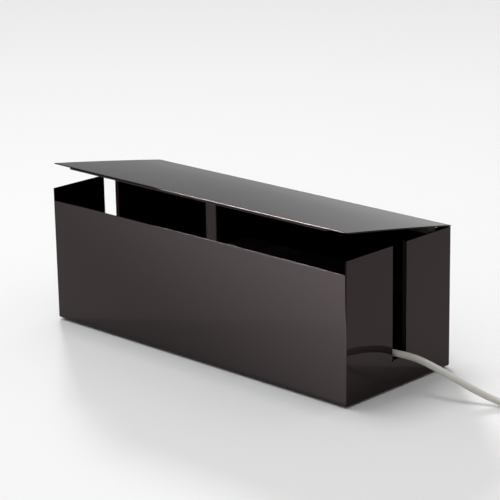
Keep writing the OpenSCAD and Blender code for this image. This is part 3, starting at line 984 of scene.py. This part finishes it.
plugPiece = makePlug()
tiePiece = makeTie()


# nodes that keep their own shape: softened edges and a finish

softening = {
    "segments": 2,
    "from": 40,  # edges that bend more than this are rounded
    "crisp": 35,  # and those that bend more than this aren't shaded smooth
}

nodeEdges = {
    "hinge_left_wall_leaf": 0.15, "hinge_left_lid_leaf": 0.15, "hinge_left_pin": 0.25,
    "hinge_right_wall_leaf": 0.15, "hinge_right_lid_leaf": 0.15, "hinge_right_pin": 0.25,
    "wall_studs": 0.25, "wall_nuts": 0.25, "lid_studs": 0.25, "lid_nuts": 0.25,
    "foot_front_left": 0.4, "foot_front_right": 0.4, "foot_rear_left": 0.4, "foot_rear_right": 0.4,
    "strip_tray": 0.4, "strip_screws": 0.3,
    "live_rail": 0.15, "earth_rail": 0.15, "neutral_rail": 0.15, "conductors": 0.1,
    "held_lead": 0.3, "cord_clamp": 0.5, "clamp_screws": 0.3, "plug_pins": 0.9,
}


def makeSmoothing():
    # shades smooth where faces meet gently and keeps real edges crisp
    group = bpy.data.node_groups.new("gentle_edges", "GeometryNodeTree")
    for way in ("INPUT", "OUTPUT"):
        group.interface.new_socket("Geometry", in_out=way, socket_type="NodeSocketGeometry")
    make, link = group.nodes.new, group.links.new
    given, out = make("NodeGroupInput"), make("NodeGroupOutput")
    faces, edges = make("GeometryNodeSetShadeSmooth"), make("GeometryNodeSetShadeSmooth")
    angle, gentle = make("GeometryNodeInputMeshEdgeAngle"), make("FunctionNodeCompare")
    faces.domain, edges.domain = "FACE", "EDGE"
    gentle.operation = "LESS_THAN"
    gentle.inputs["B"].default_value = radians(softening["crisp"])
    link(given.outputs["Geometry"], faces.inputs["Geometry"])
    link(faces.outputs["Geometry"], edges.inputs["Geometry"])
    link(angle.outputs["Unsigned Angle"], gentle.inputs["A"])
    link(gentle.outputs["Result"], edges.inputs["Shade Smooth"])
    link(edges.outputs["Geometry"], out.inputs["Geometry"])
    return group


def dressNodes():
    smoothing = makeSmoothing()
    slots = {row["node"]: row["material_slot"] for row in frame["record"]["subparts"]}
    for name, width in nodeEdges.items():
        node = nodes[name]
        for place in node.material_slots:
            place.material = finishes[slots[name]]
        soften = node.modifiers.new("soften", "BEVEL")
        soften.width = width * mm
        soften.segments = softening["segments"]
        soften.limit_method = "ANGLE"
        soften.angle_limit = radians(softening["from"])
        gentle = node.modifiers.new("gentle", "NODES")
        gentle.node_group = smoothing
    print("dressed", len(nodeEdges), "nodes")


dressNodes()


# floor, lamps and surroundings

studio = {
    "floorReach": 8.0,  # metres, as is the top lamp's place
    "floorTone": 0.92,  # as it is seen
    "bounceTone": 0.6,  # for the light that it sends back onto the object
    "side": {"azimuth": 141.0, "elevation": 26.0, "spread": 8.5, "power": 1.5},
    # a lamp that only the gloss sees, for the bright lines along the front edges
    "glint": {"azimuth": 197.2, "elevation": 47.4, "spread": 8.5, "power": 5.0,
              "colour": (0.84, 1.0, 0.98)},
    "top": {"place": (-0.5, 0.0, 2.6), "size": 0.95, "power": 19.2},
    "fill": (0.1, 0.8),  # at the horizon and overhead
    "lean": {"azimuth": 180.0, "away": 0.7, "toward": 1.3},  # the fill is stronger on one side
    # what the gloss sees round about: (rise, brightness) from the horizon up, and a brighter side
    "mirror": [(0.0, 0.50), (0.010, 0.44), (0.022, 0.415), (0.045, 0.385), (0.062, 0.31),
               (0.088, 0.22), (0.2, 0.30), (1.0, 0.50)],
    "bright": {"azimuth": 112.0, "from": 0.93, "to": 0.985, "gain": 1.67},
    # a glow on the floor in front that only the gloss sees: it begins at an edge along the box, grows
    # along a line and dies away further out
    "glow": {"azimuth": -62.0, "from": 0.04, "to": 0.42, "low": 0.33, "high": 4.0,
             "fade": (0.55, 1.1), "ahead": -90.0, "edge": (0.077, 0.092), "colour": (0.86, 1.0, 1.05)},
}


def direction(azimuth, elevation=0):
    turn, rise = radians(azimuth), radians(elevation)
    return Vector((cos(rise) * cos(turn), cos(rise) * sin(turn), sin(rise)))


def measured(tree, vector, azimuth):
    # how far a vector reaches in a direction
    node = tree.nodes.new("ShaderNodeVectorMath")
    node.operation = "DOT_PRODUCT"
    node.inputs[1].default_value = direction(azimuth)
    tree.links.new(vector, node.inputs[0])
    return node.outputs["Value"]


def makeFloor():
    reach, glow = studio["floorReach"] / mm, studio["glow"]
    ends = [(x * reach, y * reach, 0) for x, y in ((-1, -1), (1, -1), (1, 1), (-1, 1))]
    piece = linkMesh("floor", ends, [(0, 1, 2, 3)])
    material = bpy.data.materials.new("pale_floor")
    material.use_nodes = True
    tree = material.node_tree
    make, link = tree.nodes.new, tree.links.new
    shader = tree.nodes["Principled BSDF"]
    shader.inputs["Roughness"].default_value = 1
    shader.inputs["Specular IOR Level"].default_value = 0
    shader.inputs["Emission Color"].default_value = (*glow["colour"], 1)
    place, rays = make("ShaderNodeTexCoord"), make("ShaderNodeLightPath")
    away, tone = make("ShaderNodeVectorMath"), make("ShaderNodeMix")
    spot, inGloss = place.outputs["Object"], rays.outputs["Is Glossy Ray"]
    tone.data_type = "RGBA"
    tone.inputs["A"].default_value = (*(studio["bounceTone"],) * 3, 1)
    tone.inputs["B"].default_value = (*(studio["floorTone"],) * 3, 1)
    link(calculated(tree, "ADD", rays.outputs["Is Camera Ray"], inGloss), tone.inputs["Factor"])
    link(tone.outputs["Result"], shader.inputs["Base Color"])
    away.operation = "LENGTH"
    link(spot, away.inputs[0])
    limits = glow["from"], glow["to"], glow["low"], glow["high"]
    strength = ranged(tree, measured(tree, spot, glow["azimuth"]), *limits, "SMOOTHSTEP")
    fade = ranged(tree, away.outputs["Value"], *glow["fade"], 1, 0, "SMOOTHSTEP")
    edge = ranged(tree, measured(tree, spot, glow["ahead"]), *glow["edge"], 0, 1, "SMOOTHSTEP")
    for factor in (fade, edge, inGloss):
        strength = calculated(tree, "MULTIPLY", strength, factor)
    link(strength, shader.inputs["Emission Strength"])
    piece.data.materials.append(material)


def linkLamp(name, kind, power):
    data = bpy.data.lights.new(name, kind)
    data.energy = power
    lamp = bpy.data.objects.new(name, data)
    lamp.visible_camera = False
    bpy.context.collection.objects.link(lamp)
    return lamp


def makeLamps():
    top = studio["top"]
    for name, values in (("side_lamp", studio["side"]), ("glint_lamp", studio["glint"])):
        lamp = linkLamp(name, "SUN", values["power"])
        lamp.data.angle = radians(values["spread"])
        lamp.data.color = values.get("colour", (1, 1, 1))
        toward = direction(values["azimuth"], values["elevation"])
        lamp.rotation_euler = toward.to_track_quat("Z", "Y").to_euler()
        lamp.visible_diffuse = name == "side_lamp"
        lamp.visible_glossy = name == "glint_lamp"
    lamp = linkLamp("top_lamp", "AREA", top["power"])
    lamp.data.shape = "SQUARE"
    lamp.data.size = top["size"]
    lamp.location = top["place"]
    lamp.rotation_euler = Vector(top["place"]).to_track_quat("Z", "Y").to_euler()


def makeSurroundings():
    world = bpy.data.worlds.new("studio")
    bpy.context.scene.world = world
    world.use_nodes = True
    tree = world.node_tree
    make, link = tree.nodes.new, tree.links.new
    tree.nodes.clear()
    out, rays = make("ShaderNodeOutputWorld"), make("ShaderNodeLightPath")
    place, parts = make("ShaderNodeTexCoord"), make("ShaderNodeSeparateXYZ")
    rise, around = make("ShaderNodeValToRGB"), place.outputs["Generated"]
    fill, mirror, white = (make("ShaderNodeBackground") for _ in range(3))
    inGloss, inView = (make("ShaderNodeMixShader") for _ in range(2))
    for background in (fill, mirror, white):
        background.inputs["Color"].default_value = (1, 1, 1, 1)
    link(around, parts.inputs["Vector"])
    lean, bright, levels = studio["lean"], studio["bright"], studio["mirror"]
    skyward = ranged(tree, parts.outputs["Z"], 0, 1, *studio["fill"])
    limits = -1, 1, lean["away"], lean["toward"]
    sideways = ranged(tree, measured(tree, around, lean["azimuth"]), *limits)
    link(calculated(tree, "MULTIPLY", skyward, sideways), fill.inputs["Strength"])
    for _ in levels[2:]:
        rise.color_ramp.elements.new(0.5)
    for element, (height, level) in zip(rise.color_ramp.elements, levels):
        element.position = height
        element.color = (level, level, level, 1)
    link(parts.outputs["Z"], rise.inputs["Fac"])
    limits = bright["from"], bright["to"], 1, bright["gain"]
    gain = ranged(tree, measured(tree, around, bright["azimuth"]), *limits, "SMOOTHSTEP")
    link(calculated(tree, "MULTIPLY", rise.outputs["Color"], gain), mirror.inputs["Strength"])
    link(rays.outputs["Is Glossy Ray"], inGloss.inputs[0])
    link(fill.outputs[0], inGloss.inputs[1])
    link(mirror.outputs[0], inGloss.inputs[2])
    link(rays.outputs["Is Camera Ray"], inView.inputs[0])
    link(inGloss.outputs[0], inView.inputs[1])
    link(white.outputs[0], inView.inputs[2])
    link(inView.outputs[0], out.inputs["Surface"])


makeFloor()
makeLamps()
makeSurroundings()
bpy.context.scene.view_settings.view_transform = "Standard"
print("studio set")
